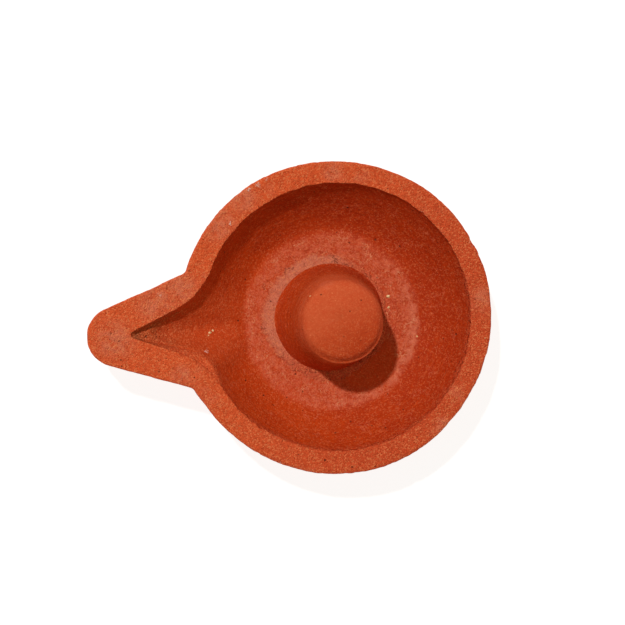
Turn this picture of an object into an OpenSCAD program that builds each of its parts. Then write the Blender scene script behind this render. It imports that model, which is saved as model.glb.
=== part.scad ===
// Terracotta diya: a small oil lamp of fired clay.
// A thrown bowl has a wide flat rim. A wick spout is let into a gap in its
// wall, and a leaning knob stands in the middle of its floor. Runs of luting
// clay join the pieces. The lamp stands on its foot, +Z is up, the origin is
// the centre of the foot, and the spout points along -X.

/* [Bowl] */
// Outer diameter across the rim
bowl_d = 80; // [74:1:90]
// Height of the rim above the table
bowl_h = 20; // [18:0.5:24]
// Width of the flat top of the rim
rim_w = 6.1; // [5:0.1:7]
// Thickness of the clay under the floor
floor_t = 6.5; // [5:0.5:8]
// Diameter of the level floor inside
floor_d = 45; // [38:0.5:45.5]
// Diameter of the flat foot underneath
foot_d = 47; // [46:0.5:54]
// Upright height of the outside just below the rim
skirt_h = 4.5; // [3:0.5:7]
// Roundness of the rim's outer edge
rim_edge_r = 1.0; // [0.5:0.1:1.5]

/* [Spout] */
// Distance from the bowl's centre to the spout's nose
spout_reach = 63.2; // [58:0.5:70]
// Radius of the spout's round nose, seen from above
nose_r = 7.4; // [6:0.1:9]
// Angle of each outer side of the spout to its axis
side_angle = 19.7; // [17:0.1:22]
// Distance from the bowl's centre to the end of the wick channel
channel_reach = 51.7; // [48:0.1:54]
// Angle of each side of the wick channel to its axis
channel_angle = 22; // [19:0.5:24]
// Depth of the channel's upright lip at the nose
channel_lip = 3.2; // [2:0.1:4]
// Upright height of the outside of the nose
nose_h = 8; // [6:0.5:10]

/* [Knob] */
// Height of the knob above the floor
knob_h = 24.4; // [20:0.2:27]
// Diameter of the knob where it meets the floor
knob_foot_d = 28; // [25:0.5:29]
// Diameter of the knob's cap
knob_cap_d = 21.0; // [18:0.2:23]
// Radius of the cap's shoulder
shoulder_r = 3.4; // [2:0.1:4]
// Rise of the domed top inside the shoulder
dome_h = 1.9; // [1:0.1:3]
// Angle that the knob leans from upright
knob_lean = 3.8; // [0:0.1:8]
// Direction of the lean, from +X towards +Y
lean_dir = -65; // [-180:5:180]

/* [Luting clay] */
// Thickness of the clay in each joint beside the spout
joint_t = 0.8; // [0.5:0.1:1.2]
// Height of the pad round the knob's foot
pad_h = 0.7; // [0.4:0.1:1.2]
// Outer diameter of the pad at the floor
pad_d = 33; // [32:0.2:34]
// How far the pad's centre lies from the knob's, towards the spout
pad_shift = 1.2; // [0:0.1:1.5]

/* [Hidden] */

clay = [0.76, 0.33, 0.20];
clay_dark = [0.63, 0.21, 0.11];
clay_pale = [0.75, 0.41, 0.30];
$fn = 96;

rim_r = bowl_d / 2;
mouth_r = rim_r - rim_w;
floor_r = floor_d / 2;
foot_r = foot_d / 2;
mouth_edge_r = 0.4;
// half of the gap in the wall that the spout fills, as an angle
gap_angle = 30;
joint_angle = joint_t / mouth_r * 180 / PI;
corner_r = 2;
throat_r = 20;
channel_end_r = 0.9;
// how sharply the wall bends from level to upright: 1 is a straight slope
wall_bend = 1.36;
belly_bend = 1.7;
wall_steps = 12;
belly_steps = 9;
edge_steps = 4;
fan_steps = 22;

// 0 to 1 along a curve that starts level and ends upright
function rise(x, bend) = 1 - pow(1 - pow(x, bend), 1 / bend);
// 0 to 1 with level ends, between two angles
function ease(a, low, high) =
    let (t = min(1, max(0, (a - low) / (high - low)))) t * t * (3 - 2 * t);
function mix(a, b, t) = a + (b - a) * t;

// Distance from the bowl's centre to an outline seen from above, at angle a
// from the spout's axis. The outline is a ring of radius ring, a straight
// side at angle slope that touches a round end of radius end_r, and a
// blend of radius blend between the ring and the side.
function outline(a, ring, reach, end_r, slope, blend) =
    let (
        centre = reach - end_r,
        offset = centre * sin(slope) + end_r,
        far = ring + blend,
        blend_a = asin((offset + blend) / far) - slope,
        side_x = far * cos(blend_a) - blend * sin(slope),
        side_y = far * sin(blend_a) - blend * cos(slope),
        side_a = atan2(side_y, side_x),
        end_a = atan2(end_r * cos(slope), centre + end_r * sin(slope)),
        b = abs(a)
    )
    b < end_a ? centre * cos(b) + sqrt(pow(end_r, 2) - pow(centre * sin(b), 2))
    : b < side_a ? offset / sin(b + slope)
    : b < blend_a ? far * cos(b - blend_a) - sqrt(pow(blend, 2) - pow(far * sin(b - blend_a), 2))
    : ring;

function outer_reach(a) = outline(a, rim_r, spout_reach, nose_r, side_angle, corner_r);
function inner_reach(a) =
    outline(a, mouth_r, channel_reach, channel_end_r, channel_angle, throat_r);

// Upright cut through the wall at angle a from the spout's axis, as
// distance from the centre and height, from the edge of the level floor up
// over the rim and down the outside to the foot.
function wall_cut(a) =
    let (
        wall = ease(abs(a), 4, gap_angle - 2),
        inside = inner_reach(a),
        outside = outer_reach(a),
        lip = channel_lip * (1 - ease(abs(a), 9, gap_angle - 2)),
        bend = mix(1, wall_bend, wall),
        skirt = mix(nose_h, skirt_h, wall),
        belly = mix(1, belly_bend, wall),
        lip_z = bowl_h - mouth_edge_r - lip
    )
    concat(
        [for (k = [0 : wall_steps])
            let (x = 1 - pow(1 - k / wall_steps, 1.6))
            [mix(floor_r, inside, x), mix(floor_t, lip_z, rise(x, bend))]],
        [[inside + 0.05, bowl_h - mouth_edge_r + 0.01],
         [inside + mouth_edge_r, bowl_h]],
        [for (k = [0 : edge_steps])
            let (t = k / edge_steps * 90)
            [outside - rim_edge_r * (1 - sin(t)), bowl_h - rim_edge_r * (1 - cos(t))]],
        [for (k = [0 : belly_steps - 1])
            let (x = 1 - k / belly_steps)
            [mix(foot_r, outside, x), (bowl_h - skirt) * rise(x, belly)]],
        [[foot_r, 0]]
    );
function section(a) = concat([[floor_r, 0]], wall_cut(a));

// Angles of the spout's cuts, closest together at its nose
fan = [for (k = [-fan_steps : fan_steps])
    sign(k) * gap_angle * pow(abs(k) / fan_steps, 1.35)];

// Solid that passes through the cuts at all the angles of the fan
module fan_solid() {
    cuts = [for (a = fan) section(a)];
    n = len(cuts[0]);
    last = len(fan) - 1;
    corners = [for (i = [0 : last]) for (p = cuts[i])
        [-p[0] * cos(fan[i]), -p[0] * sin(fan[i]), p[1]]];
    sides = [for (i = [0 : last - 1]) for (j = [0 : n - 1])
        let (a = i * n + j, b = i * n + (j + 1) % n, c = b + n, d = a + n)
        each [[a, b, c], [a, c, d]]];
    ends = [
        [for (j = [n - 1 : -1 : 0]) j],
        [for (j = [0 : n - 1]) last * n + j]
    ];
    polyhedron(points = corners, faces = concat(sides, ends), convexity = 10);
}

// Part of the turned wall, from one angle round to another
module wall_arc(from_angle, to_angle) {
    rotate([0, 0, 180 + from_angle])
        rotate_extrude(angle = to_angle - from_angle)
            polygon(section(gap_angle));
}

function knob_profile() =
    let (
        cap_r = knob_cap_d / 2,
        foot = knob_foot_d / 2,
        crown_a = 65,
        shoulder_z = knob_h - dome_h - shoulder_r * sin(crown_a),
        crown_r = cap_r - shoulder_r + shoulder_r * cos(crown_a),
        crown_z = shoulder_z + shoulder_r * sin(crown_a)
    )
    concat(
        [[0, -2], [foot, -2], [foot, 0]],
        [for (k = [1 : 7])
            [mix(foot, cap_r, pow(k / 7, 0.6)), shoulder_z * k / 7]],
        [for (k = [1 : 6])
            let (t = crown_a * k / 6)
            [cap_r - shoulder_r + shoulder_r * cos(t), shoulder_z + shoulder_r * sin(t)]],
        [for (k = [1 : 6])
            let (x = 1 - k / 6)
            [crown_r * x, mix(knob_h, crown_z, x * x)]]
    );

module knob_shape() {
    difference() {
        translate([0, 0, floor_t])
            rotate([0, 0, lean_dir]) rotate([0, knob_lean, 0])
                rotate_extrude() polygon(knob_profile());
        translate([0, 0, floor_t - 5])
            cube([2 * foot_d, 2 * foot_d, 10], center = true);
    }
}

// Space that the spout and its two joints take up in the turned wall
module gap() {
    half = gap_angle + joint_angle;
    difference() {
        translate([0, 0, -1])
            rotate([0, 0, 180 - half])
                rotate_extrude(angle = 2 * half)
                    square([rim_r + 2, bowl_h + 2]);
        translate([0, 0, -2]) cylinder(r = floor_r, h = bowl_h + 4);
    }
}

// Thrown floor and wall, with the gap for the spout
module bowl() {
    color(clay)
        difference() {
            rotate_extrude()
                polygon(concat([[0, 0], [0, floor_t]], wall_cut(gap_angle)));
            gap();
        }
}

// Wick spout with its tapering channel and the walls of its throat
module spout() {
    color(clay) fan_solid();
}

// Luting clay in the two joints between the spout and the bowl
module spout_luting() {
    color(clay_dark) {
        wall_arc(gap_angle, gap_angle + joint_angle);
        wall_arc(360 - gap_angle - joint_angle, 360 - gap_angle);
    }
}

// Leaning pillar with a domed cap
module knob() {
    color(clay) knob_shape();
}

// Pad of luting clay round the foot of the knob
module knob_luting() {
    color(clay_pale)
        difference() {
            translate([-pad_shift, 0, floor_t])
                cylinder(r1 = pad_d / 2, r2 = pad_d / 2 - pad_h, h = pad_h);
            knob_shape();
        }
}

bowl();
spout();
spout_luting();
knob();
knob_luting();
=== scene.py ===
import math

import bpy
import numpy as np
from mathutils import Matrix, Vector


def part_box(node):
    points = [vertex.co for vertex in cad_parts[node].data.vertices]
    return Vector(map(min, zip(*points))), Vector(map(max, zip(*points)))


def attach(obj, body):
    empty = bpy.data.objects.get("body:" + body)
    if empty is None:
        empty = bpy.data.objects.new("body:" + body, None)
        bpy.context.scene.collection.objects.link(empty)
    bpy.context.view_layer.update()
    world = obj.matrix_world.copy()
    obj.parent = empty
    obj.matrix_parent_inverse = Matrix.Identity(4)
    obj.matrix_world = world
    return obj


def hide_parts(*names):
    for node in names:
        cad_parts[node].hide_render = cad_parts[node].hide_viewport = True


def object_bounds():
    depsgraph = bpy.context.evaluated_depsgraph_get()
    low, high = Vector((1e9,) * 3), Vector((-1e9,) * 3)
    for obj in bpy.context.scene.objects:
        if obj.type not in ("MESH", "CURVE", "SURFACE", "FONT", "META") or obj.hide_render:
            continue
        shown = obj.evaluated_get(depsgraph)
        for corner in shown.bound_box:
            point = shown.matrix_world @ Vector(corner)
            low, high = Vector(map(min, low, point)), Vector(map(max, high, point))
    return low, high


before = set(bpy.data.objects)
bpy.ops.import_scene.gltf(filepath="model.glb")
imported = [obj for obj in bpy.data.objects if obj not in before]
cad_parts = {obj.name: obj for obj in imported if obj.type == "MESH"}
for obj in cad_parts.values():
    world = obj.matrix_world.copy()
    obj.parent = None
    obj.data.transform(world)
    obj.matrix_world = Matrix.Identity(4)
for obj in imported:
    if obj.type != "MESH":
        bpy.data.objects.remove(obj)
cad_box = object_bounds()

# A terracotta diya. Lengths are in millimetres until a mesh is made, and
# angles on the plan are in degrees from the spout's axis, which is -X.
MM = 0.001


def span(node, axis, side):
    """One coordinate of a CAD node's box, in millimetres."""
    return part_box(node)[side][axis] / MM


LOW, HIGH = 0, 1
X, Y, Z = 0, 1, 2

# ---- sizes, the main ones read from the frame ----
RIM_R = span("bowl", Y, HIGH)
BOWL_H = span("bowl", Z, HIGH)
REACH = -span("spout", X, LOW)
PAD_TOP = span("knob_luting", Z, HIGH)
PAD_R = (span("knob_luting", Y, HIGH) - span("knob_luting", Y, LOW)) / 2
PAD_X = (span("knob_luting", X, HIGH) + span("knob_luting", X, LOW)) / 2
FLOOR_T = span("knob", Z, LOW)

RIM_W = 6.1           # width of the rim's flat top
MOUTH_R = RIM_R - RIM_W
FLOOR_R = 22.5        # the level floor inside
FOOT_R = 23.5         # the flat foot underneath
RIM_EDGE = 0.8        # roundness of the rim's outer edge
SKIN = 0.22           # how far the outline lies inside that of the CAD
GAP_ANGLE = 30.0      # half of the gap in the wall that the spout fills
JOINT_T = 0.8         # thickness of the joints beside the spout
JOINT_ANGLE = math.degrees(JOINT_T / MOUTH_R)

NOSE_R = 7.4          # the spout's round nose, seen from above
SIDE_ANGLE = 19.7     # the spout's sides to its axis
CORNER_R = 2.0        # blend between the rim and those sides
CHANNEL_REACH = 52.1  # from the centre to the channel's narrow end
CHANNEL_END_R = 0.9
CHANNEL_ANGLE = 22.0
THROAT_R = 20.0       # blend between the mouth and the channel's sides
CHANNEL_LIP = 3.2     # upright lip at the channel's narrow end
NOSE_H = 8.0          # upright height of the nose's outside
SKIRT_H = 4.5         # upright height of the outside below the rim
WALL_BEND = 1.36      # how sharply the inside turns upright: 1 is straight
BELLY_BEND = 1.7      # the same outside

KNOB_H = 24.4         # above the floor
KNOB_FOOT_R = 14.0
KNOB_CAP_R = 10.5
KNOB_SUNK = 2.0       # how far its foot goes on below the floor
KNOB_SKIN = 0.1       # how far its surface lies inside that of the CAD
SHOULDER_R = 3.4      # roundness of the cap's shoulder
DOME_H = 1.9          # rise of the top inside the shoulder
CROWN_ANGLE = 65.0    # how far the shoulder turns in before the dome
SHOULDER_Z = KNOB_H - DOME_H - SHOULDER_R * math.sin(math.radians(CROWN_ANGLE))
KNOB_LEAN = 3.8       # from upright
LEAN_DIR = -65.0      # direction of the lean, from +X towards +Y
LIP_ANGLE = 112.0     # plan angle at which the cap's lip stands out most
RIB_LINES = (0.97, 0.89, 0.79, 0.66)    # heights of lines on the flank, as shares

# ---- how finely the meshes are divided ----
FINE = np.linspace(0, 1, 240)[None, :]  # along a curve before it is resampled
ROWS_INSIDE, ROWS_EDGE, ROWS_RIM, ROWS_OUTSIDE = 56, 6, 21, 38
ROWS_FLANK, ROWS_SHOULDER, ROWS_CROWN = 96, 44, 32
ROWS_FLOOR, ROWS_FOOT = 21, 14
FLOOR_FAN_R, FOOT_FAN_R = 12.0, 0.8     # inside these, faces run to the middle
COLUMNS_WALL, COLUMNS_GAP = 500, 61
COLUMNS_SPOUT_SIDE = 130
COLUMNS_JOINT = 4
COLUMNS_KNOB = 400
COLUMNS_PAD, ROWS_PAD = 420, 22
GRAIN_RINGS, GRAIN_SIDES = 7, 12


# ---- noise ----
CELL_KEYS = (374761393, 668265263, 2147483647)
SEED_KEY, MIX_KEY = 974634777, 1274126177
WORD, HALF = 0xFFFFFFFF, 0x7FFFFF       # 32 bits, and half of 24 bits


def lattice(cell, seed):
    """Repeatable random number from -1 to 1 for each whole-number cell."""
    n = sum(cell[..., axis] * key for axis, key in enumerate(CELL_KEYS))
    n = (n + seed * SEED_KEY) & WORD
    n = ((n ^ (n >> 13)) * MIX_KEY) & WORD
    n = n ^ (n >> 16)
    return (n & (2 * HALF + 1)) / float(HALF) - 1.0


def noise(points, size, seed=0):
    """Smooth noise from about -1 to 1, with lumps about size across."""
    q = np.asarray(points) / size
    cell = np.floor(q).astype(np.int64)
    f = q - cell
    f = f * f * f * (f * (f * 6 - 15) + 10)
    total = 0.0
    for corner in np.ndindex(2, 2, 2):
        weights = np.where(corner, f, 1 - f)
        total = total + weights.prod(axis=-1) * lattice(cell + np.array(corner), seed)
    return total


def layered(points, size, layers, seed=0):
    """Noise with finer and fainter layers added."""
    return sum(noise(points, size / 2 ** k, seed + k) / 2 ** k for k in range(layers))


def ease(a, low, high):
    """0 to 1 between two values, with level ends."""
    t = np.clip((a - low) / (high - low), 0, 1)
    return t * t * (3 - 2 * t)


def mix(a, b, t):
    return a + (b - a) * t


def bell(x, centre, width):
    """1 at the centre, fading to 0 on both sides."""
    return np.exp(-((x - centre) / width) ** 2)


# ---- places on the plan ----
def around(angle):
    """A plan angle as a turn of up to 180 degrees either way."""
    return (np.asarray(angle) + 180) % 360 - 180


def facing(angles, middle, half_width):
    """1 near a plan angle, fading to 0 at half_width to each side of it."""
    return ease(1 - np.abs(around(angles - middle)) / half_width, 0, 0.8)


def place(angles, r, z):
    """Plan angle, distance and height to points, as an array of columns by rows."""
    a = np.radians(np.asarray(angles))[:, None]
    return np.stack([-r * np.cos(a), -r * np.sin(a), z + 0 * r * a], axis=-1)


def on_plan(angle, r, z):
    """The point at a plan angle, distance and height."""
    a = math.radians(angle)
    return np.array([-r * math.cos(a), -r * math.sin(a), z])


# ---- the bowl's and spout's shape ----
def rise(x, bend):
    """0 to 1 along a curve that starts level and ends upright."""
    return 1 - (1 - np.clip(x, 0, 1) ** bend) ** (1 / bend)


def outline(angle, ring, reach, end_r, slope, blend):
    """Distance to a plan outline: a ring, drawn out to a round end."""
    b = np.radians(np.abs(angle))
    s = math.radians(slope)
    centre = reach - end_r
    offset = centre * math.sin(s) + end_r
    far = ring + blend
    blend_a = math.asin((offset + blend) / far) - s
    side_a = math.atan2(far * math.sin(blend_a) - blend * math.cos(s),
                        far * math.cos(blend_a) - blend * math.sin(s))
    end_a = math.atan2(end_r * math.cos(s), centre + end_r * math.sin(s))
    end = centre * np.cos(b) + np.sqrt(np.maximum(end_r ** 2 - (centre * np.sin(b)) ** 2, 0))
    side = offset / np.sin(np.maximum(b + s, 0.01))
    turn = far * np.cos(b - blend_a) - np.sqrt(
        np.maximum(blend ** 2 - (far * np.sin(b - blend_a)) ** 2, 0))
    return np.select([b < end_a, b < side_a, b < blend_a], [end, side, turn], ring)


def hand_wobble(angle):
    """How far the thrown rim strays from a true circle, in millimetres."""
    a = np.radians(angle)
    waves = 0.15 * np.cos(2 * a - 0.83) + 0.06 * np.cos(3 * a + 1.98)
    waves += 0.16 * np.cos(4 * a - 1.40) + 0.10 * np.cos(5 * a - 1.91)
    return waves * ease(np.abs(around(angle)), 32, 60)


def outer_reach(angle):
    """Distance to the outside of the rim and spout, which is pushed out on one side."""
    plain = outline(angle, RIM_R - SKIN, REACH - SKIN, NOSE_R, SIDE_ANGLE, CORNER_R)
    turn = around(angle)
    pushed = 0.5 * ease(turn, 3, 9) * ease(turn, 30, 22)
    return plain + hand_wobble(angle) + pushed


def inner_reach(angle):
    """Distance to the mouth, which lies a little off the rim's centre."""
    plain = outline(angle, MOUTH_R, CHANNEL_REACH, CHANNEL_END_R, CHANNEL_ANGLE, THROAT_R)
    return plain - 0.47 * np.cos(np.radians(angle)) * ease(np.abs(around(angle)), 30, 80)


def wall_share(angle):
    """0 on the spout's axis, 1 where the wall is that of the plain round bowl."""
    return ease(np.abs(angle), 4, GAP_ANGLE - 2)


def rubbed_side(angle):
    """1 along the side of the channel whose edge is rubbed soft."""
    turn = around(angle)
    return ease(turn, 2.5, 8) * (1 - ease(turn, 18, 40))


def crumbled(angle):
    """1 round the part of the mouth whose edge has crumbled."""
    turn = around(angle)
    return ease(turn, 22, 50) + ease(turn, -150, -175)


def mouth_edge(angle):
    """Roundness of the inside edge."""
    return 0.28 + 1.0 * rubbed_side(angle) + 0.35 * crumbled(angle)


def lip_height(angle):
    """Height of the upright lip between the channel's floor and its edge."""
    turn = around(angle)
    plain = CHANNEL_LIP * (1 - ease(np.abs(turn), 9, GAP_ANGLE - 2))
    return plain * (1 - rubbed_side(angle) * (0.35 + 0.65 * ease(turn, 8, 18)))


def ramp_end(angle):
    """Distance at which the inside surface meets the upright lip."""
    return inner_reach(angle) - (1.4 + 1.8 * rubbed_side(angle)) * (1 - wall_share(angle))


def inside_height(angle, r):
    """Height of the inside surface at a distance r from the centre."""
    wall = wall_share(angle)
    soft = np.copysign(np.sqrt(angle ** 2 + (2.4 * (1 - wall)) ** 2), angle)
    top = BOWL_H - mouth_edge(angle) - lip_height(angle)
    x = np.clip((r - FLOOR_R) / (ramp_end(soft) - FLOOR_R), 0, 1)
    x = 1.05 * x * x / (x + 0.05)
    # sand has filled the narrow end of the channel
    filled = 1.5 * ease(r * np.cos(np.radians(angle)), 43, 51) * (1 - wall)
    return FLOOR_T + (top - FLOOR_T) * rise(x, mix(1, WALL_BEND, wall)) + filled


def ragged(angle, r, size, seed):
    """Noise along an edge at a distance r, for its nicks."""
    a = np.radians(angle)
    edge = np.stack([r * np.cos(a), r * np.sin(a), 0 * r * a], axis=-1)
    return layered(edge, size, 2, seed)


def nicks_inside(angle):
    """Nicks in the mouth's edge, coarser where it has crumbled."""
    plain = 0.12 * ragged(angle, inner_reach(angle), 1.6, 61)
    return plain + 0.14 * crumbled(angle) * ragged(angle, inner_reach(angle), 0.9, 63)


def nicks_outside(angle):
    return 0.06 * ragged(angle, outer_reach(angle), 3.0, 67)


def resample(r, z, rows):
    """Points an even distance apart along each column's line."""
    step = np.hypot(np.diff(r, axis=1), np.diff(z, axis=1))
    run = np.concatenate([np.zeros((len(r), 1)), np.cumsum(step, axis=1)], axis=1)
    out_r, out_z = np.empty((len(r), rows)), np.empty((len(r), rows))
    for i in range(len(r)):
        at = np.linspace(0, run[i, -1], rows)
        out_r[i] = np.interp(at, run[i], r[i])
        out_z[i] = np.interp(at, run[i], z[i])
    return out_r, out_z


# ---- upright cuts through the wall ----
# Each line gives distances and heights at a column of plan angles a. After
# the first, a line leaves out the point that it shares with the one before.
EDGE_TURN = np.linspace(0, math.pi / 2, ROWS_EDGE)[None, 1:]


def inside_line(a):
    """From the edge of the level floor up to the mouth's edge."""
    ramp_r = FLOOR_R + (ramp_end(a) - FLOOR_R) * (1 - (1 - FINE) ** 1.8)
    r = np.concatenate([ramp_r, inner_reach(a)], axis=1)
    z = np.concatenate([inside_height(a, ramp_r), BOWL_H - mouth_edge(a)], axis=1)
    r, z = resample(r, z, ROWS_INSIDE)
    return r + nicks_inside(a) * ease(z, BOWL_H - 2.2, BOWL_H - 0.4), z


def mouth_line(a):
    """Round the mouth's edge."""
    edge_r = mouth_edge(a)
    r = inner_reach(a) + nicks_inside(a) + edge_r * (1 - np.cos(EDGE_TURN))
    return r, BOWL_H - edge_r * (1 - np.sin(EDGE_TURN))


def top_line(a):
    """Over the flat top of the rim."""
    across = np.linspace(0, 1, ROWS_RIM)[None, 1:]
    r = mix(inner_reach(a) + mouth_edge(a), outer_reach(a) - RIM_EDGE, across)
    r = r + mix(nicks_inside(a), nicks_outside(a), across)
    return r, np.full_like(r, BOWL_H)


def edge_line(a):
    """Round the rim's outer edge."""
    r = outer_reach(a) + nicks_outside(a) - RIM_EDGE * (1 - np.sin(EDGE_TURN))
    return r, BOWL_H - RIM_EDGE * (1 - np.cos(EDGE_TURN)) + 0 * r


def outside_line(a):
    """Down the upright skirt and in under the belly to the foot."""
    outer = outer_reach(a)
    wall = wall_share(a)
    x = 1 - FINE ** 1.5
    skirt_z = BOWL_H - mix(NOSE_H, SKIRT_H, wall)
    belly_z = skirt_z * rise(x, mix(1, BELLY_BEND, wall))
    r = np.concatenate([outer, FOOT_R + (outer - FOOT_R) * x], axis=1)
    z = np.concatenate([np.full_like(outer, BOWL_H - RIM_EDGE), belly_z], axis=1)
    r, z = resample(r, z, ROWS_OUTSIDE)
    r = r + nicks_outside(a) * ease(z, BOWL_H - 3, BOWL_H - 1)
    return r[:, 1:], z[:, 1:]


def foot_line(a):
    """The one point below the edge of the level floor."""
    return np.full_like(a, FLOOR_R), np.zeros_like(a)


def slip_inside(a, r, z):
    """Share of red slip inside: less in the channel, and little where the edge is rubbed."""
    dusty = ease(np.abs(around(a)), 28, 12) * ease(r, FLOOR_R, FLOOR_R + 4)
    bare = ease(z, BOWL_H - 4.6, BOWL_H - 1.6) * rubbed_side(a)
    patchy = 0.7 + 0.9 * noise(place(a[:, 0], r, z), 0.9, 31)
    bare = np.maximum(bare, ease(z, BOWL_H - 3.5, BOWL_H - 0.3) * crumbled(a) * patchy)
    return (1 - 0.25 * dusty) * (1 - np.clip(bare, 0, 1))


def slip_on_edge(a):
    """Share of red slip round the mouth's edge."""
    return (1 - ease(EDGE_TURN, 0.1, 0.9)) * (1 - rubbed_side(a)) * (1 - 0.8 * crumbled(a))


def wall_lines(angles):
    """Upright cuts through the wall, from the level floor over the rim to the foot.

    Returns the distance and height of each point, and how much red slip it has.
    """
    a = np.asarray(angles)[:, None]
    shapes = (inside_line, mouth_line, top_line, edge_line, outside_line, foot_line)
    lines = [shape(a) for shape in shapes]
    slip = [np.zeros_like(line[0]) for line in lines]
    slip[0] = slip_inside(a, *lines[0])
    slip[1] = slip_on_edge(a)
    r, z = zip(*lines)
    return [np.concatenate(parts, axis=1) for parts in (r, z, slip)]


def grid_normals(points, closed):
    """Outward normals of a grid of points."""
    if closed:
        wide = np.concatenate([points[-1:], points, points[:1]], axis=0)
        du = wide[2:] - wide[:-2]
    else:
        du = np.gradient(points, axis=0)
    dv = np.gradient(points, axis=1)
    n = np.cross(dv, du)
    length = np.linalg.norm(n, axis=-1, keepdims=True)
    return n / np.maximum(length, 1e-9)


# ---- the clay's relief ----
# Places where the rim is knocked: plan angle, distance, size and depth
CHIPS = [
    (-156.7, RIM_R, 2.0, 0.42),
    (-162.0, RIM_R, 1.2, 0.30),
    (147.2, RIM_R, 1.4, 0.22),
    (140.0, RIM_R, 1.0, 0.18),
    (63.3, RIM_R, 1.2, 0.50),
    (-64.3, RIM_R, 1.3, 0.12),
    (-69.0, RIM_R, 1.0, 0.12),
    (-134.9, MOUTH_R, 1.1, 0.50),
    (-100.0, RIM_R, 1.0, 0.25),
    (110.0, RIM_R, 1.3, 0.25),
    (20.0, 45.5, 1.1, 0.30),
]

# Places where the clay is rubbed pale: plan angle, distance and size
RUBBED = [
    (-68.1, 39.1, 0.9),
    (-64.2, 38.7, 1.3),
    (-60.4, 39.0, 1.1),
    (-46.1, 35.7, 0.9),
    (-12.3, 44.7, 1.0),
    (9.6, 34.0, 1.0),
    (63.3, 39.5, 0.9),
    (150.0, 38.6, 0.8),
]

# Places with a bloom of pale dust: plan angle, distance and size
DUSTED = [
    (-9.6, 45.7, 5.5),
    (-15.8, 39.9, 4.5),
    (-43.3, 37.9, 5.0),
    (-56.4, 38.1, 4.0),
    (15.6, 41.9, 3.0),
    (1.0, 56.0, 5.5),
    (-93.7, 36.9, 3.0),
    (-178.8, 38.2, 4.0),
    (129.2, 38.6, 2.5),
]


def chip_depth(points):
    """How deep the clay is knocked in, in millimetres."""
    depth = np.zeros(points.shape[:-1])
    for angle, r, size, deep in CHIPS:
        d = np.linalg.norm(points - on_plan(angle, r, BOWL_H), axis=-1)
        edge = size * (1 + 0.35 * noise(points, size * 0.6, 71))
        depth += deep * np.clip(1 - (d / edge) ** 2, 0, 1)
    return depth


def on_top(points, r):
    """1 on the level that a mark at a distance r lies on: the rim's top, or the inside."""
    return ease(points[..., 2], BOWL_H - 2.5, BOWL_H - 0.8) if r > MOUTH_R + 1 else 1.0


def plan_gap(points, angle, r):
    """Distance on the plan from a place given by its plan angle and distance."""
    return np.linalg.norm(points[..., :2] - on_plan(angle, r, 0)[:2], axis=-1)


def rubbed(points):
    """1 where the clay is chipped or rubbed pale."""
    share = np.clip(chip_depth(points) / 0.25, 0, 1) * 0.7
    for angle, r, size in RUBBED:
        near = 1 - plan_gap(points, angle, r) / (1.5 * size)
        share = np.maximum(share, near * on_top(points, r))
    return np.clip(share, 0, 1)


def dusted(points):
    """1 where pale dust lies on the clay."""
    share = np.zeros(points.shape[:-1])
    for angle, r, size in DUSTED:
        near = ease(plan_gap(points, angle, r), 1.3 * size, 0.3 * size)
        share = np.maximum(share, near * on_top(points, r))
    return share


def channel_grit(points, slip):
    """1 where coarse sand has washed into the narrow end of the channel."""
    r = np.hypot(points[..., 0], points[..., 1])
    end = ease(r, 33, 51) * (0.7 + 0.5 * noise(points, 3.0, 55))
    return slip * end * ease(np.abs(points[..., 1]), 7, 2)


def finger_ridges(points, normals, slip):
    """Ridges that fingers leave on the thrown wall, inside and out."""
    x, y, z = np.moveaxis(points, -1, 0)
    angle = np.arctan2(-y, -x)
    faint = 0.5 + 0.5 * noise(points, 14.0, 5)
    inside = slip * np.sin(2 * np.pi * (np.hypot(x, y) + z) / 2.3 + angle)
    wall = (1 - slip) * ease(normals[..., 2], 0.6, 0.2) * ease(z, 0, 1)
    outside = wall * np.sin(2 * np.pi * z / 3.1 + angle + noise(points, 9.0, 8))
    return faint * (0.022 * inside + 0.10 * outside)


def wire_marks(points, normals):
    """Depth of the marks of the wire that cut the foot from the wheel."""
    x, y, z = np.moveaxis(points, -1, 0)
    under = ease(-normals[..., 2], 0.8, 0.95) * ease(z, 1.0, 0.2)
    drag = 1 + np.sin(2 * np.pi * np.hypot(x + 30, y - 12) / 4.2 + noise(points, 6.0, 9))
    return under * ease(np.hypot(x, y), FOOT_R, FOOT_R - 2.5) * (0.06 + 0.05 * drag)


def relief(points, normals, slip):
    """How far the clay stands out from its plain shape, in millimetres."""
    lumps = 0.10 * layered(points, 9.0, 2, 11) + 0.04 * layered(points, 2.2, 2, 23)
    rough = mix(0.040, 0.014, slip) * noise(points, 0.8, 37)
    pits = 0.13 * (1 - slip) * ease(noise(points, 1.2, 39), 0.42, 0.8)
    raised = lumps + rough + finger_ridges(points, normals, slip)
    return raised - pits - wire_marks(points, normals) - chip_depth(points)


def add_relief(points, slip, closed):
    normals = grid_normals(points, closed)
    return points + normals * relief(points, normals, slip)[..., None]


# ---- meshes ----
INSET = 0.005               # least distance of a mesh from the sides of the CAD's box
SHARP_ANGLE = 60            # edges bent more than this are shaded sharp


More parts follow.
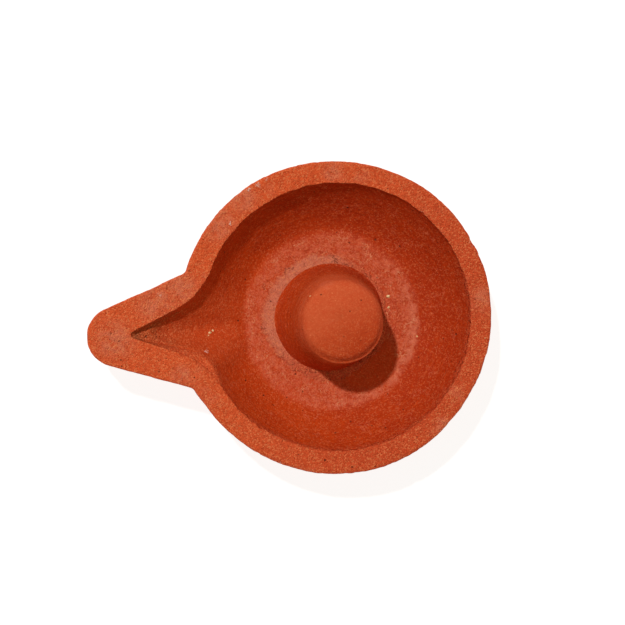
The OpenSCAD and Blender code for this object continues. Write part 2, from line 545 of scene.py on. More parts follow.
def make_object(name, points, faces, marks, node, slot_name, material):
    """Object on a CAD node, with one value per point for each of the material's marks."""
    low, high = (np.array(corner) / MM for corner in cad_box)
    points = np.clip(points, low + np.array([INSET, INSET, 0]), high - INSET)
    used = np.unique(np.concatenate([np.ravel(f) for f in faces]))
    renumber = np.full(len(points), -1)
    renumber[used] = np.arange(len(used))
    faces = [renumber[np.asarray(f)].tolist() for f in faces]
    mesh = bpy.data.meshes.new(name)
    mesh.from_pydata((points[used] * MM).tolist(), [], faces)
    for key, values in marks.items():
        mark = mesh.attributes.new(key, "FLOAT", "POINT")
        mark.data.foreach_set("value", np.clip(np.ravel(values)[used], 0, 1).astype(np.float32))
    mesh.validate()
    mesh.shade_smooth()
    mesh.set_sharp_from_angle(angle=math.radians(SHARP_ANGLE))
    mesh.materials.append(material)
    obj = bpy.data.objects.new(name, mesh)
    bpy.context.scene.collection.objects.link(obj)
    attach(obj, "root")
    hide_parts(node)


def quads(columns, rows, wrap, row_from=0, row_to=None, col_to=None):
    """Faces between neighbouring columns and rows of a grid."""
    faces = []
    for i in range(col_to or (columns if wrap else columns - 1)):
        j = (i + 1) % columns
        for k in range(row_from, row_to or rows - 1):
            a, b = i * rows + k, j * rows + k
            faces.append((a, a + 1, b + 1, b))
    return faces


def pairs(columns, rows):
    """First points of each column of a round grid and of the column after it."""
    return [(i * rows, (i + 1) % columns * rows) for i in range(columns)]


def close_grid(points, start, end):
    """A round grid's points with one more to close each end, and the faces that reach it."""
    flat = np.concatenate([points.reshape(-1, 3), [start, end]])
    start_at, end_at = len(flat) - 2, len(flat) - 1
    rows = points.shape[1]
    faces = []
    for a, b in pairs(*points.shape[:2]):
        faces.append((start_at, a, b))
        faces.append((end_at, b + rows - 1, a + rows - 1))
    return flat, faces


def wall_piece(angles):
    """Closed mesh of the wall between two upright cuts."""
    wide = np.concatenate([[2 * angles[0] - angles[1]], angles, [2 * angles[-1] - angles[-2]]])
    r, z, slip = wall_lines(wide)
    points = add_relief(place(wide, r, z), slip, False)[1:-1]
    slip = slip[1:-1]
    points[:, 0, 2] = FLOOR_T
    points[:, -1, 2] = 0
    columns, rows = slip.shape
    faces = quads(columns, rows, False)
    for i in range(columns - 1):
        faces.append((i * rows, (i + 1) * rows, (i + 2) * rows - 1, (i + 1) * rows - 1))
    faces.append(tuple(range(rows - 1, -1, -1)))
    faces.append(tuple((columns - 1) * rows + k for k in range(rows)))
    marks = {"slip": slip, "grit": channel_grit(points, slip),
             "worn": rubbed(points), "dust": dusted(points)}
    return points.reshape(-1, 3), faces, marks


def spout_mesh():
    """The spout, with its cuts closest together at the nose."""
    k = np.linspace(-1, 1, 2 * COLUMNS_SPOUT_SIDE + 1)
    return wall_piece(np.sign(k) * GAP_ANGLE * np.abs(k) ** 1.25)


def bowl_grid(angles):
    """Points and slip of the floor, wall, rim and underside, column by column.

    Also gives the rows where the wall starts and where it ends.
    """
    floor_r = np.linspace(FLOOR_FAN_R, FLOOR_R, ROWS_FLOOR)[None, :-1].repeat(len(angles), 0)
    foot_r = np.linspace(FLOOR_R, FOOT_FAN_R, ROWS_FOOT)[None, 1:].repeat(len(angles), 0)
    r, z, slip = wall_lines(angles)
    first = floor_r.shape[1]
    last = first + r.shape[1] - 1
    r = np.concatenate([floor_r, r, foot_r], axis=1)
    z = np.concatenate([0 * floor_r + FLOOR_T, z, 0 * foot_r], axis=1)
    slip = np.concatenate([0 * floor_r + 1, slip, 0 * foot_r], axis=1)
    points = add_relief(place(angles, r, z), slip, True)
    points[:, first, 2] = FLOOR_T
    points[:, last, 2] = 0
    return points, slip, first, last


def bowl_faces(columns, rows, wall_columns, first, last):
    """Faces of the bowl, whose wall and rim leave out the columns in the gap."""
    faces = quads(columns, rows, True, row_to=first)
    faces += quads(columns, rows, True, row_from=last)
    faces += quads(columns, rows, False, first, last, wall_columns - 1)
    for a, b in pairs(columns, rows)[wall_columns - 1:]:
        faces.append((a + first, a + last, b + last, b + first))
    faces.append(tuple(range(last, first - 1, -1)))
    faces.append(tuple((wall_columns - 1) * rows + k for k in range(first, last + 1)))
    return faces


def bowl_mesh():
    """Floor, wall and rim, with the gap that the spout fills."""
    edge = GAP_ANGLE + JOINT_ANGLE
    wall_angles = np.linspace(edge, 360 - edge, COLUMNS_WALL)
    gap_angles = np.linspace(-edge, edge, COLUMNS_GAP)[1:-1]
    points, slip, first, last = bowl_grid(np.concatenate([wall_angles, gap_angles]))
    flat, ends = close_grid(points, [0, 0, FLOOR_T], [0, 0, 0.1])
    marks = {"slip": np.append(slip, [1, 0]),
             "worn": np.append(rubbed(points), [0, 0]),
             "dust": np.append(dusted(points), [0, 0])}
    return flat, bowl_faces(*slip.shape, len(wall_angles), first, last) + ends, marks


# ---- knob ----
def knob_flank():
    """The knob's side, from below the floor up to its shoulder."""
    t = np.linspace(0, 1, 160)
    r = mix(KNOB_FOOT_R, KNOB_CAP_R, t ** 0.6)
    return np.append(KNOB_FOOT_R, r), np.append(-KNOB_SUNK, (SHOULDER_Z - 0.6) * t)


def knob_shoulder():
    turn = np.radians(np.linspace(0, CROWN_ANGLE, 90))
    r = KNOB_CAP_R - SHOULDER_R + SHOULDER_R * np.cos(turn)
    return r, SHOULDER_Z + SHOULDER_R * np.sin(turn)


def knob_crown(edge_r, edge_z):
    """The shallow dome inside the shoulder, all but its middle point."""
    x = 1 - np.linspace(0, 1, 60)[:-1]
    return edge_r * x, mix(KNOB_H, edge_z, x * x)


def knob_lines(count):
    """Distance from the knob's axis and height above the floor, from foot to crown."""
    shoulder = knob_shoulder()
    crown = knob_crown(shoulder[0][-1], shoulder[1][-1])
    lines = ((knob_flank(), ROWS_FLANK), (shoulder, ROWS_SHOULDER), (crown, ROWS_CROWN))
    parts = [np.stack(resample(r[None, :], z[None, :], rows)) for (r, z), rows in lines]
    whole = np.concatenate([parts[0], parts[1][..., 1:], parts[2][..., 1:]], axis=-1)
    return whole.repeat(count, 1)


def lean(points):
    """Turns the upright knob to the way that it leans, about the middle of its foot."""
    axis = Vector((-math.sin(math.radians(LEAN_DIR)), math.cos(math.radians(LEAN_DIR)), 0))
    turn = np.array(Matrix.Rotation(math.radians(KNOB_LEAN), 3, axis))
    return points @ turn.T + np.array([0, 0, FLOOR_T])


def foot_spread(angles):
    """How far the knob's foot is smeared out over the floor, mostly on one side."""
    return 0.9 * facing(angles, 25, 85)


def lip_side(angles):
    """1 on the side where a thumb has turned the cap's edge out into a thin lip."""
    return facing(angles, LIP_ANGLE, 95)[:, None]


def cap_lip(angles, z):
    """1 along the cap's lip."""
    return lip_side(angles) * bell(z, SHOULDER_Z + 0.5, 0.26)


def knob_points(angles, r, z):
    """The upright knob with its smeared foot, its lip and its rubbed shoulder."""
    side = lip_side(angles)
    hollow = side * bell(z, SHOULDER_Z + 1.7, 1.0) * (r > 5)
    round_off = (1 - side) * bell(z, SHOULDER_Z + 1.2, 2.0) * (r > 5)
    spread = foot_spread(angles)[:, None] * ease(z, 12, 0)
    lip = 0.22 * cap_lip(angles, z)
    return place(angles, r + spread + lip - 0.55 * hollow - 0.22 * round_off, z)


def rib_lines(points, z):
    """1 along the fine lines that a rib has left on the flank, below the cap."""
    wander = 0.5 * noise(points, 7.0, 97)
    lines = sum(bell(z, SHOULDER_Z * share + wander, 0.45) for share in RIB_LINES)
    return lines * (0.8 + 0.4 * noise(points, 3.0, 98))


def knob_relief(points, angles, z):
    """How far the knob's lumps and finger ridges stand out, in millimetres."""
    lumps = 0.09 * layered(points, 7.0, 2, 91) + 0.03 * layered(points, 1.8, 2, 93)
    turn = np.radians(angles)[:, None]
    wave = np.sin(2 * np.pi * z / 2.1 + turn + 0.6 * noise(points, 8.0, 96))
    ridges = (wave - ease(wave, 0.7, 1.0)) * (0.6 + 0.5 * noise(points, 6.0, 94))
    return lumps + 0.09 * ease(z, SHOULDER_Z + 0.4, SHOULDER_Z - 1.0) * ridges


def knob_slip(angles, r, z, points, lines):
    """Share of red slip, which covers the flank and runs up over one side of the cap. That run over
    the side turned from the light is painted shade, and the bare clay along the rib lines and the
    lip is partly painted highlight.
    """
    top = SHOULDER_Z + 1.4 + 0.6 * noise(points, 2.5, 95)
    # painted shade: redder, darker slip over the cap towards its side turned from the light
    toward_shaded_side = r * np.cos(np.radians(angles - LIP_ANGLE))[:, None]
    slip = np.maximum(ease(z, top + 2.4, top - 3.4), ease(toward_shaded_side, -6, 12) * 0.9)
    dusty = ease(np.abs(around(angles + 85)), 60, 10)[:, None] * ease(z, 6, 14)
    # bare clay along the rib lines and the lip: partly wear, partly painted highlight on their
    # ridges
    bare = (1 - np.clip(lines * 1.1, 0, 1)) * (1 - cap_lip(angles, z))
    return slip * (1 - 0.4 * dusty) * bare


def knob_mesh():
    """Leaning pillar with a domed cap."""
    angles = np.arange(COLUMNS_KNOB) * 360 / COLUMNS_KNOB
    r, z = knob_lines(COLUMNS_KNOB)
    points = knob_points(angles, r, z)
    normals = grid_normals(points, True)
    lines = rib_lines(points, z)
    raised = knob_relief(points, angles, z) + 0.08 * lines - KNOB_SKIN
    points = lean(points + normals * raised[..., None])
    points[..., 2] = np.maximum(points[..., 2], FLOOR_T)
    crown = lean(np.array([0, 0, KNOB_H - KNOB_SKIN]))
    flat, ends = close_grid(points, [0, 0, FLOOR_T], crown)
    # pale spots along the lip and rib lines: partly wear, partly painted highlight on their ridges
    worn = np.maximum(0.6 * cap_lip(angles, z), 0.5 * lines * ease(z, 8, 14))
    marks = {"slip": np.append(knob_slip(angles, r, z, points, lines), [1, 0]),
             "worn": np.append(worn, [0, 0])}
    return flat, quads(*r.shape, True) + ends, marks


# ---- pad ----
def pad_reach(angles):
    """Distance to the pad's crumbled outer edge."""
    a = np.radians(angles)[:, None]
    crumbs = 0.45 * ragged(angles[:, None], 16 + 0 * a, 3.0, 41)
    crumbs = crumbs + 0.35 * ragged(angles[:, None], 16 + 0 * a, 0.9, 44)
    # the pad's centre lies off the knob's, so its outer edge is nearer on one side
    plain = PAD_X * -np.cos(a) + np.sqrt(PAD_R ** 2 - (PAD_X * np.sin(a)) ** 2) - 0.45
    thrown = 0.7 * foot_spread(angles) + 0.8 * facing(angles, -60, 95)
    return np.maximum(plain + crumbs + thrown[:, None], KNOB_FOOT_R + 0.3)


def pad_mesh():
    """Crumbly ring of luting clay round the knob's foot."""
    angles = np.arange(COLUMNS_PAD) * 360 / COLUMNS_PAD
    t = np.linspace(0, 1, ROWS_PAD)[None, :]
    r = mix(KNOB_FOOT_R - 0.6, pad_reach(angles), t)
    high = (PAD_TOP - FLOOR_T) * 0.75 * (1 - t ** 4.0) * (0.7 + 0.3 * (1 - t))
    top = place(angles, r, FLOOR_T + high)
    lumps = 0.10 * noise(top, 1.3, 43) + 0.05 * noise(top, 0.6, 45)
    top[..., 2] += lumps * (1 - t ** 4) - 0.03
    under = place(angles, r[:, ::-1], np.full_like(r, FLOOR_T - 0.3))
    grid = np.concatenate([top, under], axis=1)
    columns, rows = grid.shape[:2]
    faces = quads(columns, rows, True)
    faces += [(a + rows - 1, a, b, b + rows - 1) for a, b in pairs(columns, rows)]
    edge = np.concatenate([t + 0 * r, 1 - t + 0 * r], axis=1)
    return grid.reshape(-1, 3), faces, {"edge": edge}


# ---- sand grains ----
GRAIN_SHAPE = np.array([1, 0.85, 0.75])


def grain_points(centre, size):
    """One lump's points, ring by ring from its top."""
    points = []
    for down in np.linspace(0, math.pi, GRAIN_RINGS + 1):
        for turn in np.arange(GRAIN_SIDES) * 2 * math.pi / GRAIN_SIDES:
            out = math.sin(down)
            way = np.array([out * math.cos(turn), out * math.sin(turn), math.cos(down)])
            lump = 1 + 0.35 * noise(way + centre, 0.9, 57)
            points.append(centre + way * size / 2 * lump * GRAIN_SHAPE)
    return points


def grain_mesh(places):
    """Small lumps, each given as its centre and size."""
    points, faces = [], []
    for centre, size in places:
        start = len(points)
        points += grain_points(centre, size)
        for i in range(GRAIN_RINGS):
            for j in range(GRAIN_SIDES):
                a = start + i * GRAIN_SIDES + j
                b = start + i * GRAIN_SIDES + (j + 1) % GRAIN_SIDES
                faces.append((a, a + GRAIN_SIDES, b + GRAIN_SIDES, b))
    return np.array(points), faces, {}


def grain_in_channel(angle, r, size):
    """A grain that lies on the channel's floor."""
    return on_plan(angle, r, float(inside_height(angle, r))), size


# ---- materials ----
class Tree:
    """Short calls to add and link shader nodes."""

    def __init__(self, tree):
        self.tree = tree

    def add(self, kind, **settings):
        node = self.tree.nodes.new("ShaderNode" + kind)
        for key, value in settings.items():
            setattr(node, key, value)
        return node

    def link(self, source, target):
        """Links an output to a socket, or sets the socket to a constant."""
        if isinstance(source, bpy.types.NodeSocket):
            self.tree.links.new(source, target)
        else:
            target.default_value = source

    def fill(self, node, values):
        """Links or sets a node's first sockets, and gives its first output."""
        for socket, value in zip(node.inputs, values):
            self.link(value, socket)
        return node.outputs[0]

    def math(self, operation, a, b=0.0):
        return self.fill(self.add("Math", operation=operation), (a, b))

    def plus(self, a, b):
        return self.math("ADD", a, b)

    def product(self, first, *rest):
        for other in rest:
            first = self.math("MULTIPLY", first, other)
        return first

    def ramp(self, value, low, high, to_low=0.0, to_high=1.0, kind="SMOOTHSTEP"):
        node = self.add("MapRange", interpolation_type=kind)
        return self.fill(node, (value, low, high, to_low, to_high))


class Nodes(Tree):
    """A material's nodes, with its coordinates."""

    def __init__(self, name):
        self.material = bpy.data.materials.new(name)
        self.material.use_nodes = True
        super().__init__(self.material.node_tree)
        self.shader = self.tree.nodes["Principled BSDF"]
        self.where = self.add("TexCoord").outputs["Object"]
        split = self.add("SeparateXYZ")
        self.link(self.where, split.inputs[0])
        self.x, self.y, self.z = split.outputs

    def mark(self, name):
        return self.add("Attribute", attribute_name=name).outputs["Fac"]

    def blend(self, share, a, b):
        node = self.add("Mix", data_type="RGBA")
        self.link(share, node.inputs[0])
        self.link(a, node.inputs[6])
        self.link(b, node.inputs[7])
        return node.outputs[2]

    def distance(self, x, y):
        """Distance on the plan from a point, in metres."""
        dx = self.math("SUBTRACT", self.x, x * MM)
        dy = self.math("SUBTRACT", self.y, y * MM)
        return self.math("SQRT", self.plus(self.product(dx, dx), self.product(dy, dy)))

    def shifted(self, seed):
        shift = self.add("VectorMath", operation="ADD")
        self.link(self.where, shift.inputs[0])
        shift.inputs[1].default_value = (seed * 0.137, seed * 0.211, seed * 0.071)
        return shift.outputs[0]

    def noise(self, where, size, detail=2.0, rough=0.5):
        node = self.add("TexNoise")
        self.link(where, node.inputs["Vector"])
        node.inputs["Scale"].default_value = 1 / (size * MM)
        node.inputs["Detail"].default_value = detail
        node.inputs["Roughness"].default_value = rough
        return node.outputs["Fac"]

    def cells(self, where, size):
        """Two random numbers for each cell, and the distance to its middle."""
        cells = self.add("TexVoronoi", feature="F1")
        self.link(where, cells.inputs["Vector"])
        cells.inputs["Scale"].default_value = 1 / (size * MM)
        split = self.add("SeparateColor")
        self.link(cells.outputs["Color"], split.inputs[0])
        return split.outputs[0], split.outputs[1], cells.outputs["Distance"]

    def specks(self, size, share, radius, seed):
        """1 inside round specks that fill a share of cells of the given size."""
        number, other, distance = self.cells(self.shifted(seed), size)
        chosen = self.math("LESS_THAN", number, share)
        near = self.product(other, radius)
        return self.product(chosen, self.ramp(distance, near, self.product(near, 0.45)))

    def hairs(self, size, width, seed):
        """1 along thin curling lines that come in scattered bunches."""
        field = self.noise(self.shifted(seed), size, 2.0, 0.6)
        off = self.math("ABSOLUTE", self.math("SUBTRACT", field, 0.5))
        scatter = self.noise(self.shifted(seed + 3), size * 1.6, 1.0, 0.5)
        return self.product(self.ramp(off, width, 0.0), self.ramp(scatter, 0.54, 0.62))


def colour(r, g, b):
    """Display colour, 0 to 255, as the linear colour that the shader takes."""
    def linear(c):
        c /= 255
        return c / 12.92 if c <= 0.04045 else ((c + 0.055) / 1.055) ** 2.4
    return (linear(r), linear(g), linear(b), 1.0)


ORANGE = colour(222, 92, 49)        # sandy clay of the rim and outside
RUST = colour(194, 70, 34)          # the same where it is less dusty
ROSE = colour(214, 112, 82)         # the same with a bloom of dust
DULL_SHADE = colour(196, 73, 41)          # sandy clay painted duller and darker, as shade on the side turned from the light
CHALK_AND_HIGHLIGHT = colour(236, 204, 196)       # rubbed spots, and painted highlight along the knob's lip and rib lines
RED = colour(187, 60, 11)           # slip inside the bowl
BRICK = colour(168, 46, 7)          # the same where it is thick
EMBER_AND_FILL = colour(206, 76, 22)         # the same where it is rubbed thin; also painted fill light in the knob's cast shadow
SOOT = colour(146, 38, 6)           # its dark crumbs and cracks
CAP = colour(197, 87, 50)           # the knob's dry top
PINK = colour(203, 92, 62)          # dusty floor round the knob
PALE_PINK = colour(214, 124, 96)    # luting clay
OLIVE = colour(176, 100, 60)        # sand in the channel
CREAM = colour(232, 188, 140)       # pale sand grains and specks
PALE_SPECK_AND_HIGHLIGHT = colour(236, 140, 92)         # pale specks, and painted highlight on the lit sides of fine grains
GRAIN_SHADE = colour(146, 40, 16)        # painted shade on their dark sides
DARK = colour(84, 34, 22)           # dark specks
QUARTZ = colour(214, 160, 90)       # loose sand grains
BRIGHT_QUARTZ = colour(244, 220, 176)


def clay_nodes(name, mottle_size):
    """Nodes with the two sizes of noise that all the colours of a clay share."""
    n = Nodes(name)
    n.mottle = n.noise(n.where, mottle_size, 4.0, 0.65)
    n.grain = n.noise(n.where, 0.50, 3.0, 0.7)
    return n


def wheel_streaks(n, r, size=0.8):
    """Noise drawn out along the way that the wheel turned."""
    flat = n.add("CombineXYZ")
    turn = n.math("ARCTAN2", n.y, n.x)
    return n.noise(n.fill(flat, (r, n.product(turn, 7 * MM), n.z)), size, 3.0, 0.6)


def grain_colour(n, base, number, coarse):
    """Adds painted highlight and painted shade for the lit and dark sides of fine sand grains, and
    small pits between them painted darker as shade.
    """
    # painted highlight and painted shade on random grains, then pits darkened as painted shade
    base = n.blend(n.product(coarse, n.ramp(number, 0.60, 1.0, 0.0, 0.55)), base, PALE_SPECK_AND_HIGHLIGHT)
    base = n.blend(n.product(coarse, n.ramp(number, 0.30, 0.0, 0.0, 0.26)), base, GRAIN_SHADE)
    return n.blend(n.product(coarse, n.specks(0.8, 0.50, 0.34, 15), 0.55), base, BRICK)


def speck_colour(n, base, dark, coarse):
    """Adds pale, cream and dark specks."""
    pale = n.product(n.specks(0.9, 0.45, 0.30, 1), n.ramp(coarse, 0.3, 1.0, 0.30, 0.65))
    base = n.blend(pale, base, PALE_SPECK_AND_HIGHLIGHT)
    base = n.blend(n.specks(3.6, 0.12, 0.09, 6), base, CREAM)
    return n.blend(n.product(dark, 0.75), base, DARK)


def finish_clay(n, base, height, coarse, roughness):
    """Adds the sand and specks that all the clay has, and links the shader."""
    number, _, distance = n.cells(n.where, 0.31)
    dark = n.math("MAXIMUM", n.specks(1.9, 0.26, 0.14, 2), n.specks(2.2, 0.45, 0.17, 8))
    base = speck_colour(n, grain_colour(n, base, number, coarse), dark, coarse)
    n.link(base, n.shader.inputs["Base Color"])
    n.link(roughness, n.shader.inputs["Roughness"])
    n.shader.inputs["Specular IOR Level"].default_value = 0.12
    bumps = n.math("SUBTRACT", 1.0, distance)
    height = n.plus(height, n.product(coarse, bumps, 0.7))
    add_bump(n, n.math("SUBTRACT", height, n.product(dark, 0.5)), 0.34)


def add_bump(n, height, depth):
    """Gives the shader a relief of a depth in millimetres."""
    bump = n.add("Bump")
    bump.inputs["Strength"].default_value = 1.0
    bump.inputs["Distance"].default_value = depth * MM
    n.link(height, bump.inputs["Height"])
    n.link(bump.outputs[0], n.shader.inputs["Normal"])


def crumbly(n):
    """Share of pale dust over red clay, in crumbs of two sizes."""
    both = n.plus(n.product(n.mottle, 0.65), n.product(n.grain, 0.35))
    return n.ramp(both, 0.42, 0.58, 0.25, 1.0)


def sandy_colour(n, dry, right, patches):
    """Bare sandy clay, with painted shade making it duller towards the right and bottom, away from
    the light, and with patches of dust.
    """
    # painted shade: duller towards the right and bottom, turned from the light
    base = n.blend(n.ramp(right, -30 * MM, 34 * MM, 0.0, 0.7), dry, DULL_SHADE)
    base = n.blend(n.ramp(n.mottle, 0.56, 0.36, 0.0, 0.45), base, RUST)
    bloom = n.math("MAXIMUM", n.ramp(patches, 0.56, 0.72, 0.0, 0.5), n.mark("dust"))
    return n.blend(n.product(bloom, n.ramp(n.mottle, 0.36, 0.60, 0.2, 0.95)), base, ROSE)


def slip_colour(n, r, patches, streaks, turned):
    """Red slip, thicker away from the spout, with the wheel's streaks and scratches. It is also
    darker towards +Y, where the wall is turned from the light: painted shade.
    """
    # the 0.25 * y term is painted shade, darkening the wall towards +Y, which is turned from the
    # light
    far = n.plus(n.distance(-30, 0), n.product(n.y, 0.25))
    thick = n.plus(n.ramp(far, 15 * MM, 55 * MM), n.ramp(patches, 0.38, 0.64, -0.2, 0.3))
    base = n.blend(thick, RED, BRICK)
    base = n.blend(n.ramp(streaks, 0.45, 0.75, 0.0, 0.35), base, EMBER_AND_FILL)
    base = n.blend(n.ramp(n.grain, 0.52, 0.70, 0.0, 0.42), base, EMBER_AND_FILL)
    base = n.blend(n.ramp(n.grain, 0.47, 0.30, 0.0, 0.38), base, SOOT)
    scratches = n.ramp(wheel_streaks(n, r, 0.35), 0.58, 0.70, 0.0, turned)
    return n.blend(n.product(scratches, n.ramp(n.mottle, 0.42, 0.60)), base, ROSE)


def ring_share(n, edge, slip, bare_patch_and_fill):
    """1 on the dusty ring that lies on the level floor."""
    ring = n.ramp(edge, (FLOOR_R + 2.7) * MM, (FLOOR_R + 0.2) * MM)
    low = n.ramp(n.z, (FLOOR_T + 2.0) * MM, (FLOOR_T + 0.8) * MM)
    return n.product(ring, low, slip, bare_patch_and_fill)


def ring_colour(n, base, slip, streaks, hairs, right):
    """Adds the dusty ring, with crumbs, streaks, border and cracks, and gives its share. In the
    knob's cast shadow it also paints fill light as a brighter red.
    """
    edge = n.plus(n.distance(-0.1, -1.05), n.product(n.noise(n.where, 4.0, 3.0), 2.6 * MM))
    # this patch lies under the knob's cast shadow on the floor: the ring is thinner there, and
    # painted fill light brightens it
    bare_patch_and_fill = n.ramp(n.distance(8.0, -11.8), 6.5 * MM, 10 * MM, 0.25, 1.0)
    ring = ring_share(n, edge, slip, bare_patch_and_fill)
    # painted fill light: a brighter red in the knob's cast shadow
    base = n.blend(n.math("SUBTRACT", 1.0, bare_patch_and_fill), base, EMBER_AND_FILL)
    base = n.blend(n.product(ring, crumbly(n)), base, PINK)
    base = n.blend(n.product(ring, n.ramp(n.grain, 0.50, 0.70, 0.0, 0.45)), base, PALE_PINK)
    base = n.blend(n.product(ring, n.ramp(streaks, 0.48, 0.62, 0.0, 0.55)), base, RUST)
    border = n.ramp(edge, (FLOOR_R - 2.0) * MM, (FLOOR_R + 0.4) * MM, 0.0, 0.6)
    border = n.product(border, n.ramp(right, 4 * MM, 26 * MM), n.ramp(n.mottle, 0.36, 0.60))
    base = n.blend(n.product(ring, border), base, PALE_PINK)
    base = n.blend(n.product(ring, hairs, 0.4), base, CREAM)
    cracks = n.product(n.hairs(2.6, 0.022, 12), ring, n.ramp(right, -2 * MM, -12 * MM), 0.7)
    return n.blend(cracks, base, SOOT), ring


def grit_colour(n, base, grit):
    """Adds the coarse sand in the end of the channel."""
    base = n.blend(n.product(grit, n.ramp(n.mottle, 0.35, 0.6, 0.4, 0.9)), base, OLIVE)
    base = n.blend(n.product(grit, n.ramp(n.grain, 0.56, 0.72), 0.55), base, CREAM)
    return n.blend(n.product(grit, n.ramp(n.grain, 0.42, 0.34), 0.35), base, DARK)


def worn_colour(n, base):
    """Adds pale rubbed spots, and painted highlight along the knob's lip and rib lines, broken up by
    the clay's grain.
    """
    worn = n.mark("worn")
    spots = n.ramp(n.plus(n.product(worn, 0.5), n.grain), 0.86, 1.00, 0.0, 0.8)
    return n.blend(n.product(spots, n.ramp(worn, 0.0, 0.2)), base, CHALK_AND_HIGHLIGHT)


def clay_material(name, sandiness=1.0, dusty_floor=True, dry=ORANGE, turned=0.36):
    """Fired clay: red slip, and clay of a dry colour and sandiness where there is none.

    Turned is how strongly the wheel's scratches show in the slip.
    """
    n = clay_nodes(name, 1.7)
    slip, grit = n.mark("slip"), n.mark("grit")
    r = n.distance(0, 0)
    patches = n.noise(n.where, 8.0, 3.0, 0.6)
    streaks = wheel_streaks(n, r)
    right = n.plus(n.x, n.product(n.y, -0.6))
    hairs = n.hairs(2.2, 0.018, 4)

    smooth = slip_colour(n, r, patches, streaks, turned)
    smooth = n.blend(n.product(hairs, 0.6), smooth, ROSE)
    base = n.blend(slip, sandy_colour(n, dry, right, patches), smooth)
    coarse = n.plus(n.ramp(slip, 0.0, 1.0, sandiness, 0.42), grit)
    if dusty_floor:
        base, ring = ring_colour(n, base, slip, streaks, hairs, right)
        coarse = n.plus(coarse, n.product(ring, 0.10))
    base = worn_colour(n, grit_colour(n, base, grit))

    height = n.product(n.plus(n.grain, n.product(n.mottle, 1.5)), coarse)
    height = n.plus(height, n.product(streaks, 0.35))
    roughness = n.ramp(n.plus(n.mottle, n.product(slip, -0.3)), 0.0, 0.7, 0.62, 0.95)
    finish_clay(n, base, height, coarse, roughness)
    return n.material


def pad_material(name):
    """Pale luting clay, dusty on the side towards the spout and red on the other."""
    n = clay_nodes(name, 1.3)
    edge = n.mark("edge")
    across = n.plus(n.x, n.product(n.y, -0.75))
    pale = n.ramp(n.plus(across, n.product(n.mottle, 5 * MM)), 3 * MM, -9 * MM)
    frayed = n.ramp(n.plus(edge, n.product(n.mottle, 0.8)), 1.42, 1.10)
    base = n.blend(n.product(pale, frayed), PINK, PALE_PINK)
    base = n.blend(n.ramp(n.grain, 0.55, 0.72, 0.0, 0.35), base, PALE_PINK)
    base = n.blend(n.ramp(crumbly(n), 1.0, 0.4, 0.0, 0.25), base, RUST)
    base = n.blend(n.product(n.ramp(edge, 0.80, 1.0), n.ramp(n.grain, 0.52, 0.38), 0.35), base, SOOT)
    cracks = n.hairs(1.9, 0.025, 14)
    base = n.blend(n.product(cracks, 0.45), base, SOOT)
    height = n.plus(n.grain, n.product(n.mottle, 1.5))
    height = n.math("SUBTRACT", height, cracks)
    finish_clay(n, base, height, 0.9, n.ramp(n.mottle, 0.3, 0.7, 0.8, 0.95))
    return n.material


def sand_material(name):
    """Loose quartz grains."""
    n = Nodes(name)
    mottle = n.noise(n.where, 0.25, 3.0, 0.6)
    base = n.blend(n.ramp(mottle, 0.35, 0.65), QUARTZ, BRIGHT_QUARTZ)
    n.link(base, n.shader.inputs["Base Color"])
    n.link(n.ramp(mottle, 0.3, 0.7, 0.5, 0.8), n.shader.inputs["Roughness"])
    add_bump(n, mottle, 0.05)
    return n.material


# ---- build ----
def build_bowl():
    make_object("bowl_body", *bowl_mesh(), "bowl", "bowl_clay", clay_material("bowl_clay"))


def build_spout():
    clay = clay_material("spout_clay")
    make_object("spout_body", *spout_mesh(), "spout", "spout_clay", clay)


def build_joints():
    """The joints on both sides of the spout: narrow pieces of the same wall."""
    clay = clay_material("joint_clay")
    turns = np.linspace(GAP_ANGLE, GAP_ANGLE + JOINT_ANGLE, COLUMNS_JOINT)
    for name, angles in (("joint_right", turns), ("joint_left", -turns[::-1])):
        make_object(name, *wall_piece(angles), "spout_luting", "joint_clay", clay)


def build_knob():
    clay = clay_material("knob_clay", sandiness=0.25, dusty_floor=False, dry=CAP, turned=1.0)
    make_object("knob_body", *knob_mesh(), "knob", "knob_clay", clay)


def build_pad():
    make_object("knob_pad", *pad_mesh(), "knob_luting", "pad_clay", pad_material("pad_clay"))


def build_sand():
    """Loose grains on the floor and rim, in the channel and on the knob's shoulder."""
    sand = sand_material("sand")
    on_bowl = [
        (on_plan(-164.8, 16.0, FLOOR_T), 1.0),
        (on_plan(-175.1, 15.4, FLOOR_T + 0.1), 0.7),
        (on_plan(162.6, 23.2, FLOOR_T + 0.05), 0.55),
        (on_plan(166.8, 38.3, BOWL_H - 0.12), 0.65),
    ]
    in_channel = [
        grain_in_channel(2.1, 32.0, 0.9),
        grain_in_channel(1.2, 31.2, 0.6),
        grain_in_channel(3.1, 32.4, 0.5),
    ]
    on_knob = [
        (lean(on_plan(-43.0, 10.0, SHOULDER_Z + 0.9)), 0.75),
        (lean(on_plan(-45.0, 9.7, SHOULDER_Z + 1.5)), 0.5),
    ]
    make_object("bowl_sand", *grain_mesh(on_bowl), "bowl", "bowl_clay", sand)
    make_object("spout_sand", *grain_mesh(in_channel), "spout", "spout_clay", sand)
    make_object("knob_sand", *grain_mesh(on_knob), "knob", "knob_clay", sand)


# ---- stage, light and camera ----
# The view's own axes on the table: its right and its up, turned from +X and +Y
TURN = math.radians(-5.2)
RIGHT = Vector((math.cos(TURN), math.sin(TURN), 0))
UP = Vector((-math.sin(TURN), math.cos(TURN), 0))
SKY = Vector((0, 0, 1))

SUN_DIRECTION, SUN_HEIGHT = 129.2, 62.0  # round from the view's right, and up
SUN_STRENGTH, SUN_WIDTH = 2.17, 2.6
SKY_COLOUR = (1.0, 0.83, 0.53, 1)

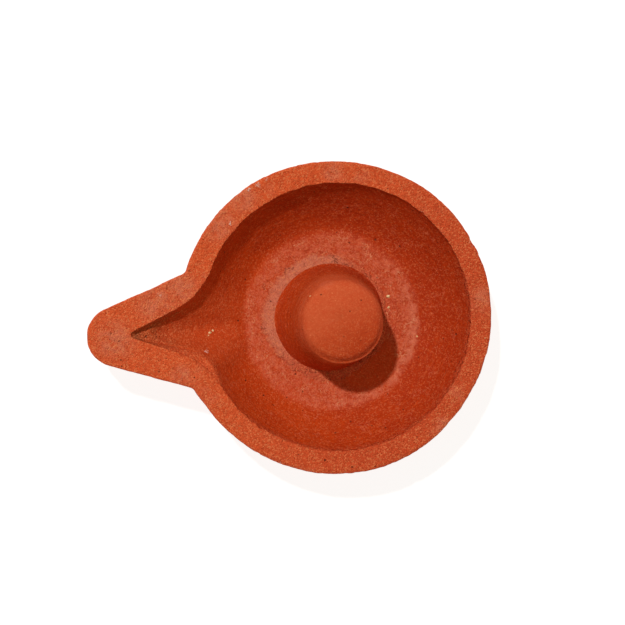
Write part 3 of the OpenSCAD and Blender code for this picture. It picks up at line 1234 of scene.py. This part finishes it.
VIEW_WIDTH = 158.0  # what the camera sees across, at the rim
LENS, SENSOR = 100, 36
AIM_RIGHT, AIM_UP = -6.15, 1.08  # middle of the view, from the bowl's centre
TILT, TILT_DIRECTION = 5.5, 190  # the camera's lean from straight above


def direction(turn, height):
    """Direction at a turn from the view's right and a height above the table."""
    turn, height = math.radians(turn), math.radians(height)
    level = RIGHT * math.cos(turn) + UP * math.sin(turn)
    return level * math.cos(height) + SKY * math.sin(height)


def make_floor():
    """A plain pale table, bright enough to come out near white."""
    bpy.ops.mesh.primitive_plane_add(size=6)
    floor = bpy.context.object
    floor.name = "table"
    material = bpy.data.materials.new("table")
    material.use_nodes = True
    shader = material.node_tree.nodes["Principled BSDF"]
    shader.inputs["Base Color"].default_value = (0.24, 0.24, 0.24, 1)
    shader.inputs["Roughness"].default_value = 0.9
    shader.inputs["Emission Color"].default_value = (1, 1, 1, 1)
    shader.inputs["Emission Strength"].default_value = 0.87
    floor.data.materials.append(material)


def make_light():
    lamp = bpy.data.lights.new("key", "SUN")
    lamp.energy = SUN_STRENGTH
    lamp.angle = math.radians(SUN_WIDTH)
    key = bpy.data.objects.new("key", lamp)
    bpy.context.scene.collection.objects.link(key)
    key.rotation_mode = "QUATERNION"
    key.rotation_quaternion = direction(SUN_DIRECTION, SUN_HEIGHT).to_track_quat("Z", "Y")


def make_sky():
    """A room that is pale at eye level and dim overhead, and brighter on one side."""
    world = bpy.data.worlds.new("room")
    bpy.context.scene.world = world
    world.use_nodes = True
    n = Tree(world.node_tree)
    split = n.add("SeparateXYZ")
    n.link(n.add("TexCoord").outputs["Generated"], split.inputs[0])
    overhead = n.ramp(split.outputs[2], 0.10, 0.60, 0.56, 0.34)
    sides = n.ramp(split.outputs[0], -1.0, 1.0, 0.78, 1.26, kind="LINEAR")
    background = n.tree.nodes["Background"]
    n.link(n.product(overhead, sides), background.inputs["Strength"])
    background.inputs["Color"].default_value = SKY_COLOUR


def make_camera():
    data = bpy.data.cameras.new("camera")
    camera = bpy.data.objects.new("camera", data)
    bpy.context.scene.collection.objects.link(camera)
    data.lens, data.sensor_width = LENS, SENSOR
    data.clip_start, data.clip_end = 0.01, 10
    back = direction(TILT_DIRECTION, 90 - TILT)
    right = UP.cross(back).normalized()
    turned = Matrix((right, back.cross(right), back)).transposed().to_4x4()
    aim = RIGHT * AIM_RIGHT + UP * AIM_UP + SKY * BOWL_H
    far = VIEW_WIDTH * LENS / SENSOR
    camera.matrix_world = Matrix.Translation((aim + back * far) * MM) @ turned
    bpy.context.scene.camera = camera


build_bowl()
build_spout()
build_joints()
build_knob()
build_pad()
build_sand()
make_floor()
make_light()
make_sky()
make_camera()
bpy.context.scene.view_settings.view_transform = "Standard"
